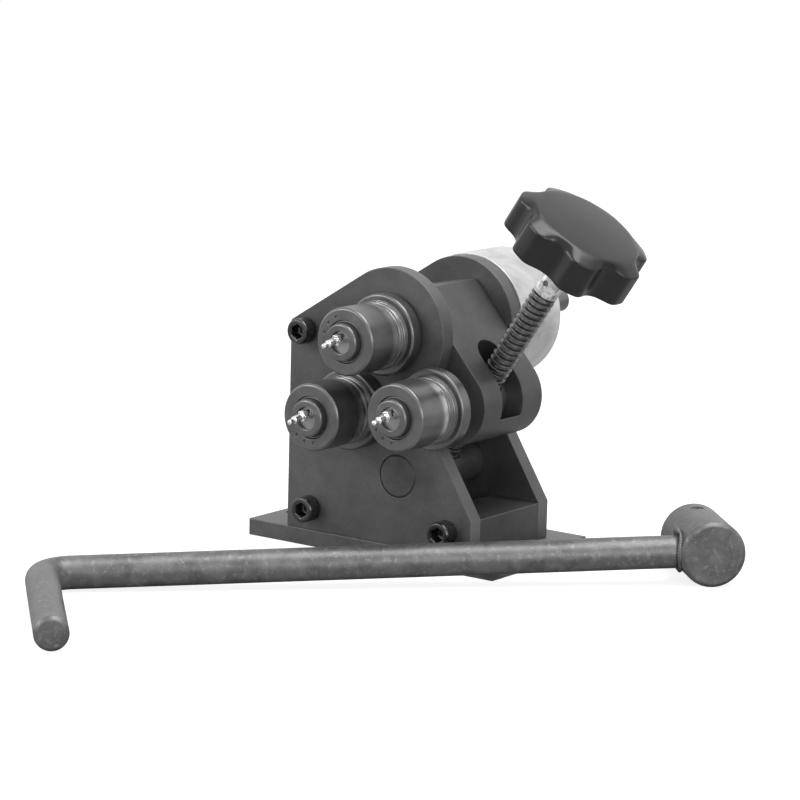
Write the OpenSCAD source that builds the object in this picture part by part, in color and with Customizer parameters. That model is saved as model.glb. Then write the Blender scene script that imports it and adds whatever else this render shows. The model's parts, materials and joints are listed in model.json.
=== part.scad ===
// Hand-cranked three-roller plate rolling machine with a swinging side roller,
// a planetary reducer on the top roller and a loose crank handle.
// Millimetres, +X to the right along the side plates, +Y to the rear, +Z up.
// The origin is the centre of the base plate's underside.

/* [Base] */
// Width of the base plate along X
base_w = 187; // [175:0.5:215]
// Depth of the base plate along Y
base_d = 103; // [98:0.5:125]
// Thickness of the base plate
base_t = 10.5; // [8:0.5:14]
// Diameter of each bench bolt hole
base_hole_d = 9; // [6:0.5:10]
// Distance from the base's side edges to the bolt holes
base_hole_inset_x = 9.5; // [8:0.5:12]
// Distance between the front and rear bolt holes
base_hole_span_y = 36; // [26:1:54]
// Bare ledge of base to the left of the side plates
left_ledge = 30.5; // [22:0.5:36]
// Bare ledge of base to the right of the side plates
right_ledge = 17; // [10:0.5:22]

/* [Side plates] */
// Thickness of each side plate
plate_t = 10.5; // [9:0.5:14]
// Clear space between the two side plates
gap_w = 63; // [58:0.5:70]
// Gap between the plates' rounded top and the right roller's sleeve
crown_gap = 6.15; // [4:0.05:8]
// Slope of the shoulder edge
shoulder_angle = 32; // [28:1:36]
// Height of the plates' right edge over the base plate
heel_rise = 23.5; // [18:0.5:30]
// Height of the top roller's axis over the bench
top_axis_h = 141.5; // [134:0.5:152]
// Distance from the plates' left edge to the top roller's axis
top_axis_inset = 75.5; // [71:0.5:80]

/* [Spacers and screws] */
// Width of the two lower spacer blocks
block_w = 36.5; // [32:0.5:41]
// Diameter of the upper spacer bar
bar_d = 21.5; // [18:0.5:25]
// Distance of the lower screws from the plates' side edges
foot_screw_inset = 18; // [14:0.5:21]
// Height of the lower screws over the base plate
foot_screw_rise = 14; // [13:0.5:16]
// Distance of the upper screw from the left edge
shoulder_screw_inset = 12; // [11.5:0.5:16]
// Distance of the upper screw from the shoulder edge
shoulder_screw_rim = 11; // [11:0.5:18]
// Thread diameter of the frame screws
frame_screw_d = 10; // [8:1:12]
// Head diameter of the frame screws
frame_head_d = 16; // [13:0.5:19]
// Thread length of the frame screws in the spacers
frame_screw_grip = 16; // [11:1:20]
// Thread diameter of the countersunk screws under the base
foot_bolt_d = 6; // [5:1:8]
// Head diameter of the countersunk screws
foot_bolt_head_d = 12; // [10:0.5:15]

/* [Rollers] */
// Diameter of each roller's plain body
roller_d = 41.5; // [37:0.5:43]
// Length of each roller's plain body
roller_body_l = 26.7; // [22:0.1:36]
// Length of the grooved zone behind the body
roller_neck_l = 8.7; // [7:0.1:12]
// Radius of the two wire grooves
wire_groove_r = 1.7; // [1:0.1:2]
// Diameter of each roller's rear flange
flange_d = 50; // [45:0.5:52]
// Thickness of each roller's rear flange
flange_t = 9.1; // [7:0.1:12]
// Space between a roller and the front side plate
roller_gap = 1.3; // [1.1:0.1:2.6]
// Gap between the flanges of the top and left rollers
left_flange_gap = 4.7; // [3.5:0.1:8]
// Direction of the left roller axis from the top roller axis
left_angle = 243.7; // [238:0.1:248]
// Diameter of the left and right roller axles
axle_d = 18; // [15:0.5:19]
// How far the right roller stands in front of the other two
right_forward = 1.2; // [0:0.1:2]
// Outer diameter of the sleeve behind the right roller
right_sleeve_d = 20.5; // [20:0.5:21.5]
// Outer diameter of the roller bushes
roller_bush_d = 23; // [21:0.5:26]
// Diameter of the round ring nuts on the roller faces
ring_nut_d = 23; // [21:0.5:25]
// How far the ring nuts stand out of the rollers
ring_nut_proud = 4.5; // [3:0.5:7]
// Diameter of the recess round each ring nut
nut_recess_d = 26; // [25.5:0.5:28]
// Thread diameter of the axle noses
nose_d = 14; // [11:1:16]

/* [Swing arm and screw] */
// Gap between the flanges of the top and right rollers
arm_flange_gap = 6.4; // [5:0.1:10]
// Direction of the right roller axis from the top roller axis at rest
arm_angle = -46.3; // [-48:0.1:-44]
// Radius of the arm's rounded lower end
lobe_r = 25.3; // [23:0.1:27]
// Radius of the arm round the top shaft
arm_hub_r = 25; // [23:0.5:27]
// Play between the arm and each side plate
arm_play = 0.3; // [0.2:0.1:0.6]
// Least gap between the right roller's sleeve and the side plate's flank
flank_gap = 0.8; // [0.5:0.1:3]
// Swing of the arm below its rest angle
swing_low = 3.2; // [2:0.1:4]
// Width of the slot that the screw passes through
slot_w = 22; // [20:0.5:25]
// Distance from the top shaft to the near end of the slot
slot_start = 31; // [29:0.5:34]
// Distance from the right roller axis to the far end of the slot
slot_past = 22.5; // [21:0.1:22.6]
// Diameter of the trunnion that the screw threads through
trunnion_d = 27; // [25:0.5:29]
// Diameter of the cross pin that carries the foot of the screw
pivot_pin_d = 26.5; // [25:0.5:28]
// Distance of the cross pin to the right of the top roller's axis
pivot_pin_dx = 8.4; // [6:0.2:11]
// Height of the cross pin over the base plate, as a share of the top roller's height over it
pivot_pin_share = 0.332; // [0.31:0.002:0.35]
// How far the screw stands in front of the middle of the gap
screw_forward = 1; // [0:0.1:2]
// Outer diameter of the adjusting screw
screw_d = 16; // [14:0.5:16]
// Pitch of the adjusting screw's thread
screw_pitch = 4; // [2:0.5:5]
// Distance from the cross pin to the silver collar
collar_start = 139.5; // [134:0.5:144]
// Length of the silver collar under the knob
collar_l = 17.5; // [14:0.5:22]
// Diameter of the silver collar
collar_d = 15.5; // [14:0.5:20]

/* [Star knob] */
// Diameter over the knob's lobes
knob_d = 89; // [72:1:98]
// Height of the knob's wall and dome
knob_h = 26.5; // [23:0.5:30]
// Height of the knob's domed top
knob_dome_h = 7; // [5:0.5:10]
// Number of lobes
knob_lobes = 7; // [5:1:8]
// Radius of each scallop between two lobes
scallop_r = 12.4; // [8:0.1:14]
// Diameter at the bottom of the scallops
knob_valley_d = 73; // [66:1:78]
// How much wider each scallop opens at the top of the knob
scallop_flare = 4.6; // [2:0.1:6]
// Height of the straight part of each scallop
scallop_straight_h = 11.5; // [8:0.5:14]
// Angle of the first scallop about the screw
knob_turn = 26.3; // [0:0.1:51]

/* [Drive] */
// Diameter of the top roller's shaft
shaft_d = 20; // [16:1:20]
// Outer diameter of the shaft bushes
shaft_bush_d = 25; // [23:0.5:29]
// Outer diameter of the reducer housing
housing_d = 82; // [80:1:90]
// Length of the reducer housing
housing_l = 39; // [37:0.5:46]
// Thickness of the reducer's rear cover
cover_t = 5.5; // [4.5:0.5:8]
// Gear module of the reducer
gear_module = 1; // [0.9:0.05:1.05]
// Face width of the reducer's planets
planet_w = 13.5; // [10:0.5:14]
// Diameter of the input shaft's free end
input_d = 15; // [12:0.5:16]
// Diameter of the input shaft in its bush
input_journal_d = 18; // [17:0.5:19]
// Length of the input shaft behind the reducer
input_l = 60.5; // [45:0.5:70]

/* [Crank handle] */
// Diameter of the crank's bar and grip
crank_bar_d = 20; // [16:0.5:22]
// Distance between the hub's axis and the grip's axis
crank_l = 400; // [340:5:450]
// Length of the grip from the bar's axis
grip_l = 140; // [110:1:160]
// Radius of the bend at the bar's middle line
crank_bend_r = 18; // [14:1:35]
// Diameter of the crank's hub
crank_hub_d = 40; // [34:1:44]
// Length of the crank's hub
crank_hub_l = 57; // [50:1:64]
// Distance from the hub's outer face to the bar's axis
crank_bar_inset = 13.5; // [12.5:0.5:20]
// Depth of the hub's socket
socket_depth = 46; // [40:1:48]
// How far the loose crank's hub lies past the base's front corner
crank_past = 130; // [110:1:160]
// Gap between the loose crank and the base's front corner
crank_gap = 0.7; // [0.5:0.1:10]
// Direction in which the loose crank lies
crank_yaw = 44.6; // [40:0.1:50]

/* [Hidden] */
$fn = 96;
// Overrun of every cut
over = 1;
// Running clearance between a shaft and its bush
run_gap = 0.05;
// Chamfer on turned edges
turned_chamfer = 1;
// Levels along Y
y_front = -base_d / 2;
y_front_in = y_front + plate_t;
y_rear_in = y_front_in + gap_w;
y_rear = y_rear_in + plate_t;
y_mid = (y_front_in + y_rear_in) / 2;
y_screw = y_mid - screw_forward;
// Places in the XZ plane
plate_x0 = -base_w / 2 + left_ledge;
plate_x1 = base_w / 2 - right_ledge;
left_reach = flange_d + left_flange_gap;
arm_reach = flange_d + arm_flange_gap;
top_r = arm_reach - right_sleeve_d / 2 - crown_gap;
top_x = plate_x0 + top_axis_inset;
top_z = top_axis_h;
left_x = top_x + left_reach * cos(left_angle);
left_z = top_z + left_reach * sin(left_angle);
right_x = top_x + arm_reach * cos(arm_angle);
right_z = top_z + arm_reach * sin(arm_angle);
pin_x = top_x + pivot_pin_dx;
pin_z = base_t + (top_z - base_t) * pivot_pin_share;
screw_angle = atan2(right_z - pin_z, right_x - pin_x);
pin_to_nut = norm([right_x - pin_x, right_z - pin_z]);
// Line of the shoulder, which touches the rounded top
shoulder_touch_x = top_x - top_r * sin(shoulder_angle);
shoulder_touch_z = top_z + top_r * cos(shoulder_angle);
shoulder_x = plate_x0 + shoulder_screw_inset;
shoulder_z = shoulder_touch_z - (shoulder_touch_x - shoulder_x) * tan(shoulder_angle)
    - shoulder_screw_rim / cos(shoulder_angle);
// Places of the lower screws
foot_left_x = plate_x0 + foot_screw_inset;
foot_right_x = plate_x1 - foot_screw_inset;
foot_z = base_t + foot_screw_rise;
block_rim = 1.2;
block_h = foot_screw_rise + frame_head_d / 2 + block_rim;
// Line of the flank, which starts at the heel and clears the right roller's sleeve when the arm is lowest
heel_z = base_t + heel_rise;
sleeve_low_x = top_x + arm_reach * cos(arm_angle - swing_low);
sleeve_low_z = top_z + arm_reach * sin(arm_angle - swing_low);
heel_to_sleeve = norm([sleeve_low_x - plate_x1, sleeve_low_z - heel_z]);
flank_clear = right_sleeve_d / 2 + flank_gap;
flank_angle = atan2(sleeve_low_z - heel_z, sleeve_low_x - plate_x1) + asin(flank_clear / heel_to_sleeve) - 90;
flank_from_top = arm_reach * cos(flank_angle - arm_angle + swing_low) - flank_clear;
// Levels along Y of the rollers, measured from the front plate's face
roller_back = y_front - roller_gap;
flange_front = roller_back - flange_t;
neck_front = flange_front - roller_neck_l;
roller_front = neck_front - roller_body_l;
recess_depth = 5.5;
recess_floor = roller_front + recess_depth;
nut_play = 0.2;
nut_back = recess_floor - nut_play;
nut_front = roller_front - ring_nut_proud;
nose_depth = 2.5;
nose_front = nut_front + nose_depth;
roller_chamfer = 1.3;
washer_play = 0.13;
washer_t = roller_gap - washer_play;
washer_d = 32;
// Frame screws
frame_head_h = frame_screw_d;
hex_socket_af = 8;
hex_socket_depth = 5.5;
screw_hole_gap = 0.5;
foot_bolt_grip = 14;
foot_bolt_cone = (foot_bolt_head_d - foot_bolt_d) / 2;
// Grease nipples, each leaning down out of the upper half of its axle's nose
nipple_tilt = 10;
nipple_rise = 3;
nipple_shank_d = 5;
nipple_shank_l = 5;
nipple_hex_af = 6;
nipple_hex_start = 2.7;
nipple_hex_l = 4.3;
nipple_neck_d = 3;
nipple_ball_d = 4.8;
nipple_ball_start = 9;
nipple_ball_l = 6;
nipple_tip_d = 3.2;
nipple_tip_start = 16;
nipple_l = 19.5;
grease_bore_d = 3;
// Marking dots drilled in each roller's face
dot_d = 1.8;
dot_depth = 1.1;
dot_ring_r = 15.6;
dot_step = 25;
dot_count = 3;
left_dots_angle = 230;
top_dots_angle = 115;
right_dots_angle = 215;
// Keys
key_w = 6;
key_h = 6;
roller_key_l = 23;
carrier_key_l = 6;
// Left axle
left_shoulder_rise = 3;
left_shoulder_d = axle_d + 2 * left_shoulder_rise;
left_washer_t = 2;
left_washer_rim = 3;
// Right axle
nut_bore_gap = 1.5;
nut_bore_d = screw_d + 2 * nut_bore_gap;
// Swing arm's shoulder over the slot
arm_shoulder_share = 0.44;
arm_shoulder_rise = 2.7;
arm_neck_angle = 150;
// Adjusting screw, whose thread form is given in shares of its pitch
thread_depth = 2.2;
crest_end_share = 0.3;
root_start_share = 0.45;
root_end_share = 0.85;
foot_journal_d = 10;
pin_flat_depth = 2;
pin_flat = pivot_pin_d / 2 - pin_flat_depth;
foot_gap = 0.2;
keeper_d = 20;
keeper_l = 5.5;
keeper_start = -pin_flat - foot_gap - keeper_l;
head_stud_d = 10;
cross_pin_d = 3.5;
knob_hub_l = 9;
knob_start = collar_start + collar_l + knob_hub_l;
knob_hub_d = 25;
stud_in_knob = 12.5;
// Reducer
sun_teeth = 18;
planet_teeth = 18;
ring_teeth = 54;
planets = 3;
pressure_angle = 20;
backlash = 0.15;
housing_wall = 4;
ring_outer_d = housing_d - 2 * housing_wall;
ring_w = 27;
carrier_seat_d = 16;
carrier_d = 46;
carrier_t = 7;
carrier_gap = 2;
carrier_y = y_rear + carrier_gap;
planet_spacer_l = 3.5;
planet_y = carrier_y + carrier_t + planet_spacer_l;
planet_pin_d = 7;
planet_pin_stub = 1;
sun_overhang = 1.5;
sun_y = planet_y - sun_overhang;
sun_w = planet_w + 2 * sun_overhang;
orbit_r = gear_module * (sun_teeth + planet_teeth) / 2;
case_screw_inset = 3.8;
case_screw_r = ring_outer_d / 2 - case_screw_inset;
case_screw_d = 5;
case_head_d = 8.5;
case_head_h = 4;
case_screws = 4;
y_housing_end = y_rear + housing_l;
y_cover_end = y_housing_end + cover_t;
cover_boss_d = 35;
cover_boss_l = 3.5;
input_bush_d = 24;
input_step_gap = 1;
input_step_y = y_cover_end + cover_boss_l + input_step_gap;
journal_lap = 1;
input_flat_l = 18;
input_flat_share = 0.4;
bush_flange_d = 30;
bush_flange_t = washer_t;
// Crank
weld_r = 3.5;
crank_hub_chamfer = 2.2;
grip_chamfer = 2.2;
socket_gap = 0.1;
set_screw_d = 8;
set_screw_l = 11;
crank_slope = asin((crank_hub_d - crank_bar_d) / 2 / crank_l);
crank_over_base = crank_hub_d / 2 - crank_past * sin(crank_slope) - base_t;
crank_side = sqrt(max(0, pow(crank_bar_d / 2 + crank_gap, 2) - pow(crank_over_base, 2)));
crank_x = base_w / 2 + crank_past * cos(crank_yaw) + crank_side * sin(crank_yaw);
crank_y = -base_d / 2 + crank_past * sin(crank_yaw) - crank_side * cos(crank_yaw);
// Colours
black_steel = [0.21, 0.21, 0.22];
roller_steel = [0.28, 0.28, 0.29];
zinc = [0.8, 0.8, 0.8];
bronze = [0.66, 0.5, 0.3];
raw_steel = [0.45, 0.45, 0.45];
cast_alloy = [0.72, 0.72, 0.73];
knob_black = [0.12, 0.12, 0.13];

// Solid cylinder along Y
module rod_y(d, y0, y1) {
    translate([0, y0, 0])
        rotate([-90, 0, 0])
            cylinder(d = d, h = y1 - y0);
}

// Cylinder along Y with a chamfer at its front end
module nosed_rod_y(d, y0, y1, c) {
    translate([0, y0, 0])
        rotate([-90, 0, 0])
            union() {
                cylinder(d1 = d - 2 * c, d2 = d, h = c);
                translate([0, 0, c])
                    cylinder(d = d, h = y1 - y0 - c);
            }
}

// Tube along Y
module tube_y(d_out, d_in, y0, y1) {
    difference() {
        rod_y(d_out, y0, y1);
        rod_y(d_in, y0 - over, y1 + over);
    }
}

// Outline in XZ given a thickness along Y
module slab_y(y0, t) {
    translate([0, y0 + t, 0])
        rotate([90, 0, 0])
            linear_extrude(t)
                children();
}

module at_top() {
    translate([top_x, 0, top_z])
        children();
}

module at_left() {
    translate([left_x, 0, left_z])
        children();
}

module at_right() {
    translate([right_x, 0, right_z])
        children();
}

module at_right_roller() {
    translate([right_x, -right_forward, right_z])
        children();
}

// Local Z runs along the adjusting screw, from the cross pin to the knob
module on_screw() {
    translate([pin_x, y_screw, pin_z])
        rotate([0, 90 - screw_angle, 0])
            children();
}

// Outline of a side plate: a rounded top, a sloping shoulder and a sloping flank
module side_outline() {
    corner_z = shoulder_touch_z - (shoulder_touch_x - plate_x0) * tan(shoulder_angle);
    flank_foot = [top_x + flank_from_top * cos(flank_angle), top_z + flank_from_top * sin(flank_angle)];
    union() {
        translate([top_x, top_z])
            circle(r = top_r);
        polygon([
            [plate_x0, base_t],
            [plate_x1, base_t],
            [plate_x1, heel_z],
            flank_foot,
            [shoulder_touch_x, shoulder_touch_z],
            [plate_x0, corner_z]
        ]);
    }
}

module frame_screw_places() {
    for (place = [[shoulder_x, shoulder_z], [foot_left_x, foot_z], [foot_right_x, foot_z]])
        translate([place[0], 0, place[1]])
            children();
}

module side_plate(y0) {
    difference() {
        slab_y(y0, plate_t)
            side_outline();
        at_top()
            rod_y(shaft_bush_d, y0 - over, y0 + plate_t + over);
        at_left()
            rod_y(axle_d, y0 - over, y0 + plate_t + over);
        translate([pin_x, 0, pin_z])
            rod_y(pivot_pin_d + 2 * run_gap, y0 - over, y0 + plate_t + over);
        frame_screw_places()
            rod_y(frame_screw_d + screw_hole_gap, y0 - over, y0 + plate_t + over);
    }
}

module base_hole_places() {
    for (sx = [-1, 1])
        for (sy = [-1, 1])
            translate([sx * (base_w / 2 - base_hole_inset_x), sy * base_hole_span_y / 2, 0])
                children();
}

module foot_bolt_places() {
    for (x = [foot_left_x, foot_right_x])
        for (side = [-1, 1])
            translate([x, y_mid + side * gap_w / 4, 0])
                children();
}

module base_plate() {
    color(black_steel)
        difference() {
            translate([-base_w / 2, -base_d / 2, 0])
                cube([base_w, base_d, base_t]);
            base_hole_places()
                translate([0, 0, -over])
                    cylinder(d = base_hole_d, h = base_t + 2 * over);
            foot_bolt_places() {
                translate([0, 0, -over])
                    cylinder(d = foot_bolt_d, h = base_t + 2 * over);
                cylinder(d1 = foot_bolt_head_d, d2 = foot_bolt_d, h = foot_bolt_cone);
            }
        }
}

module front_side_plate() {
    color(black_steel)
        side_plate(y_front);
}

module rear_side_plate() {
    color(black_steel)
        difference() {
            side_plate(y_rear_in);
            at_top()
                for (i = [0:case_screws - 1])
                    rotate([0, (i + 1 / 2) * 360 / case_screws, 0])
                        translate([case_screw_r, 0, 0])
                            rod_y(case_screw_d, y_rear_in + plate_t / 4, y_rear + over);
        }
}

module foot_block(x0, screw_x) {
    color(black_steel)
        difference() {
            translate([x0, y_front_in, base_t])
                cube([block_w, gap_w, block_h]);
            translate([screw_x, 0, foot_z]) {
                rod_y(frame_screw_d, y_front_in - over, y_front_in + frame_screw_grip);
                rod_y(frame_screw_d, y_rear_in - frame_screw_grip, y_rear_in + over);
            }
            foot_bolt_places()
                translate([0, 0, base_t - over])
                    cylinder(d = foot_bolt_d, h = foot_bolt_grip - base_t + over + foot_bolt_d / 2);
        }
}

module left_foot_block() {
    foot_block(plate_x0, foot_left_x);
}

module right_foot_block() {
    foot_block(plate_x1 - block_w, foot_right_x);
}

module upper_spacer_bar() {
    color(black_steel)
        translate([shoulder_x, 0, shoulder_z])
            difference() {
                rod_y(bar_d, y_front_in, y_rear_in);
                rod_y(frame_screw_d, y_front_in - over, y_front_in + frame_screw_grip);
                rod_y(frame_screw_d, y_rear_in - frame_screw_grip, y_rear_in + over);
            }
}

// Socket head cap screw whose head stands in front of the plane y = 0
module cap_screw(d, head_d, head_h, length, socket_af, socket_depth) {
    difference() {
        union() {
            nosed_rod_y(head_d, -head_h, 0, turned_chamfer);
            rod_y(d, -over, length);
        }
        translate([0, -head_h + socket_depth, 0])
            rotate([90, 0, 0])
                cylinder(d = socket_af / cos(30), h = socket_depth + over, $fn = 6);
    }
}

module frame_screw() {
    reach = plate_t + frame_screw_grip;
    cap_screw(frame_screw_d, frame_head_d, frame_head_h, reach, hex_socket_af, hex_socket_depth);
}

module frame_screws() {
    color(black_steel)
        frame_screw_places() {
            translate([0, y_front, 0])
                frame_screw();
            translate([0, y_rear, 0])
                rotate([0, 0, 180])
                    frame_screw();
        }
}

module base_screws() {
    color(black_steel)
        foot_bolt_places()
            difference() {
                union() {
                    cylinder(d1 = foot_bolt_head_d, d2 = foot_bolt_d, h = foot_bolt_cone);
                    cylinder(d = foot_bolt_d, h = foot_bolt_grip);
                }
                translate([0, 0, -over])
                    cylinder(d = foot_bolt_d / 2 / cos(30), h = over + foot_bolt_cone, $fn = 6);
            }
}

// Roller turned about its own axis, seen in its outline of radius and place along Y
module roller(bore_d, first_dot) {
    body_r = roller_d / 2;
    flange_r = flange_d / 2;
    pitch = roller_neck_l / 2;
    difference() {
        rotate([-90, 0, 0])
            rotate_extrude()
                difference() {
                    polygon([
                        [bore_d / 2, recess_floor],
                        [nut_recess_d / 2, recess_floor],
                        [nut_recess_d / 2, roller_front],
                        [body_r - roller_chamfer, roller_front],
                        [body_r, roller_front + roller_chamfer],
                        [body_r, flange_front],
                        [flange_r - turned_chamfer, flange_front],
                        [flange_r, flange_front + turned_chamfer],
                        [flange_r, roller_back - turned_chamfer],
                        [flange_r - turned_chamfer, roller_back],
                        [bore_d / 2, roller_back]
                    ]);
                    for (i = [0, 1])
                        translate([body_r, neck_front + pitch / 2 + i * pitch])
                            circle(r = wire_groove_r);
                }
        for (i = [0:dot_count - 1])
            rotate([0, -(first_dot + i * dot_step), 0])
                translate([dot_ring_r, 0, 0])
                    rod_y(dot_d, roller_front - over, roller_front + dot_depth);
    }
}

module ring_nut() {
    color(roller_steel)
        difference() {
            nosed_rod_y(ring_nut_d, nut_front, nut_back, turned_chamfer);
            rod_y(nose_d, nut_front - over, nut_back + over);
        }
}

// Local Z runs along the grease nipple, out of the nose of an axle
module on_nipple() {
    translate([0, nose_front, nipple_rise])
        rotate([90 + nipple_tilt, 0, 0])
            children();
}

// Grease nipple: threaded shank, hexagon, round collar with tapered shoulders and a small tip
module grease_nipple() {
    ball_end = nipple_ball_start + nipple_ball_l;
    ball_taper = (nipple_ball_d - nipple_neck_d) / 2;
    tip_taper = (nipple_tip_d - nipple_neck_d / 2) / 2;
    color(zinc)
        on_nipple() {
            translate([0, 0, -nipple_shank_l])
                cylinder(d = nipple_shank_d, h = nipple_shank_l + nipple_hex_start);
            translate([0, 0, nipple_hex_start])
                cylinder(d = nipple_hex_af / cos(30), h = nipple_hex_l, $fn = 6);
            rotate_extrude()
                polygon([
                    [0, nipple_hex_start],
                    [nipple_neck_d / 2, nipple_hex_start],
                    [nipple_neck_d / 2, nipple_ball_start - ball_taper],
                    [nipple_ball_d / 2, nipple_ball_start],
                    [nipple_ball_d / 2, ball_end - ball_taper],
                    [nipple_neck_d / 2, ball_end],
                    [nipple_neck_d / 2, nipple_tip_start - tip_taper],
                    [nipple_tip_d / 2, nipple_tip_start],
                    [nipple_tip_d / 2, nipple_l - tip_taper],
                    [nipple_neck_d / 4, nipple_l],
                    [0, nipple_l]
                ]);
        }
}

// Grease passage from the nipple to the middle of the roller
module grease_passage() {
    mid = (roller_front + roller_back) / 2;
    start = nose_front + nipple_shank_l * cos(nipple_tilt) - grease_bore_d;
    on_nipple()
        translate([0, 0, -nipple_shank_l])
            cylinder(d = nipple_shank_d, h = nipple_shank_l + nipple_hex_start);
    rod_y(grease_bore_d, start, mid + grease_bore_d / 2);
    translate([0, mid, 0])
        cylinder(d = grease_bore_d, h = axle_d);
}

// Two plain bushes pressed into a roller from either side
module roller_bushes() {
    bush_share = 0.4;
    length = (roller_back - recess_floor) * bush_share;
    color(bronze) {
        tube_y(roller_bush_d, axle_d + 2 * run_gap, recess_floor, recess_floor + length);
        tube_y(roller_bush_d, axle_d + 2 * run_gap, roller_back - length, roller_back);
    }
}

module thrust_washer() {
    color(bronze)
        tube_y(washer_d, axle_d + 2 * run_gap, y_front - washer_t, y_front);
}

module left_roller() {
    color(roller_steel)
        at_left()
            roller(roller_bush_d, left_dots_angle);
}

module left_roller_bushes() {
    at_left()
        roller_bushes();
}

module left_axle() {
    color(raw_steel)
        at_left()
            difference() {
                union() {
                    rod_y(nose_d, nose_front, nut_back);
                    rod_y(axle_d, nut_back, y_rear);
                    rod_y(left_shoulder_d, y_front_in, y_rear_in);
                    rod_y(nose_d, y_rear - over, y_rear + nose_d);
                }
                grease_passage();
            }
}

module left_thrust_washer() {
    at_left()
        thrust_washer();
}

module left_ring_nut() {
    at_left()
        ring_nut();
}

module left_grease_nipple() {
    at_left()
        grease_nipple();
}

// Hexagon nut and washer that draw the left axle tight against the rear plate
module left_axle_nut() {
    across = nose_d * 3 / 2;
    height = nose_d * 3 / 4;
    color(black_steel)
        at_left()
            difference() {
                union() {
                    rod_y(across + 2 * left_washer_rim, y_rear, y_rear + left_washer_t);
                    translate([0, y_rear + left_washer_t / 2, 0])
                        rotate([-90, 0, 0])
                            cylinder(d = across / cos(30), h = height, $fn = 6);
                }
                rod_y(nose_d, y_rear - over, y_rear + nose_d);
            }
}

module top_roller() {
    color(roller_steel)
        at_top()
            difference() {
                roller(shaft_d, top_dots_angle);
                translate([-key_w / 2, roller_back - roller_key_l, 0])
                    cube([key_w, roller_key_l + over, shaft_d / 2 + key_h / 2]);
            }
}

module drive_shaft() {
    color(raw_steel)
        at_top()
            difference() {
                union() {
                    rod_y(nose_d, nose_front, recess_floor);
                    rod_y(shaft_d, recess_floor, carrier_y);
                    rod_y(carrier_seat_d, carrier_y - over, carrier_y + carrier_t);
                }
                on_nipple()
                    translate([0, 0, -nipple_shank_l])
                        cylinder(d = nipple_shank_d, h = nipple_shank_l + nipple_hex_start);
                translate([-key_w / 2, roller_back - roller_key_l, shaft_d / 2 - key_h / 2])
                    cube([key_w, roller_key_l, key_h]);
                translate([-key_w / 2, carrier_y, carrier_seat_d / 2 - key_h / 2])
                    cube([key_w, carrier_t + over, key_h]);
            }
}

module roller_key() {
    color(raw_steel)
        at_top()
            translate([-key_w / 2, roller_back - roller_key_l, shaft_d / 2 - key_h / 2])
                cube([key_w, roller_key_l, key_h]);
}

module top_ring_nut() {
    at_top()
        ring_nut();
}

module top_grease_nipple() {
    at_top()
        grease_nipple();
}

module front_shaft_bush() {
    color(bronze)
        at_top()
            difference() {
                union() {
                    rod_y(shaft_bush_d, y_front - bush_flange_t, y_front_in);
                    rod_y(bush_flange_d, y_front - bush_flange_t, y_front);
                }
                rod_y(shaft_d + 2 * run_gap, y_front - bush_flange_t - over, y_front_in + over);
            }
}

module rear_shaft_bush() {
    color(bronze)
        at_top()
            difference() {
                union() {
                    rod_y(shaft_bush_d, y_rear_in, y_rear + bush_flange_t);
                    rod_y(bush_flange_d, y_rear, y_rear + bush_flange_t);
                }
                rod_y(shaft_d + 2 * run_gap, y_rear_in - over, y_rear + bush_flange_t + over);
            }
}

// Outline of the arm about the top shaft, with the right roller axis along +X
module arm_outline() {
    shoulder = [-lobe_r * arm_shoulder_share, lobe_r + arm_shoulder_rise];
    union() {
        circle(r = arm_hub_r);
        translate([arm_reach, 0])
            circle(r = lobe_r);
        polygon([
            [0, -arm_hub_r],
            [arm_reach, -lobe_r],
            [arm_reach, lobe_r],
            shoulder,
            arm_hub_r * [cos(arm_neck_angle), sin(arm_neck_angle)]
        ]);
    }
}

module swing_arm() {
    y0 = y_front_in + arm_play;
    arm_w = gap_w - 2 * arm_play;
    slot_l = arm_reach + slot_past - slot_start;
    slot_h = 2 * lobe_r + arm_shoulder_rise + 2 * over;
    color(black_steel)
        difference() {
            at_top()
                rotate([0, -arm_angle, 0])
                    difference() {
                        slab_y(y0, arm_w)
                            arm_outline();
                        translate([slot_start + slot_w / 2, y_screw, -lobe_r - over]) {
                            cylinder(d = slot_w, h = slot_h);
                            translate([0, -slot_w / 2, 0])
                                cube([slot_l - slot_w / 2, slot_w, slot_h]);
                        }
                        rod_y(shaft_bush_d, y0 - over, y0 + arm_w + over);
                    }
            at_right()
                rod_y(trunnion_d + 2 * run_gap, y0 - over, y0 + arm_w + over);
        }
}

module arm_bush() {
    y0 = y_front_in + arm_play;
    color(bronze)
        at_top()
            tube_y(shaft_bush_d, shaft_d + 2 * run_gap, y0, y0 + gap_w - 2 * arm_play);
}

// Right axle, whose thick rear half is the cross nut of the adjusting screw
module right_axle() {
    y0 = y_front_in + arm_play;
    color(raw_steel)
        difference() {
            union() {
                at_right_roller()
                    difference() {
                        union() {
                            rod_y(nose_d, nose_front, nut_back);
                            rod_y(axle_d, nut_back, y_front_in);
                        }
                        grease_passage();
                    }
                at_right() {
                    rod_y(axle_d, y_front, y0);
                    rod_y(trunnion_d, y0, y0 + gap_w - 2 * arm_play);
                }
            }
            on_screw()
                translate([0, 0, pin_to_nut - trunnion_d])
                    cylinder(d = nut_bore_d, h = 2 * trunnion_d);
        }
}

module right_sleeve() {
    color(raw_steel)
        at_right()
            tube_y(right_sleeve_d, axle_d, roller_back - right_forward, y_front_in + arm_play);
}

module right_ring_nut() {
    at_right_roller()
        ring_nut();
}

module right_grease_nipple() {
    at_right_roller()
        grease_nipple();
}

module right_roller() {
    color(roller_steel)
        at_right_roller()
            roller(roller_bush_d, right_dots_angle);
}

module right_roller_bushes() {
    at_right_roller()
        roller_bushes();
}

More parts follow.
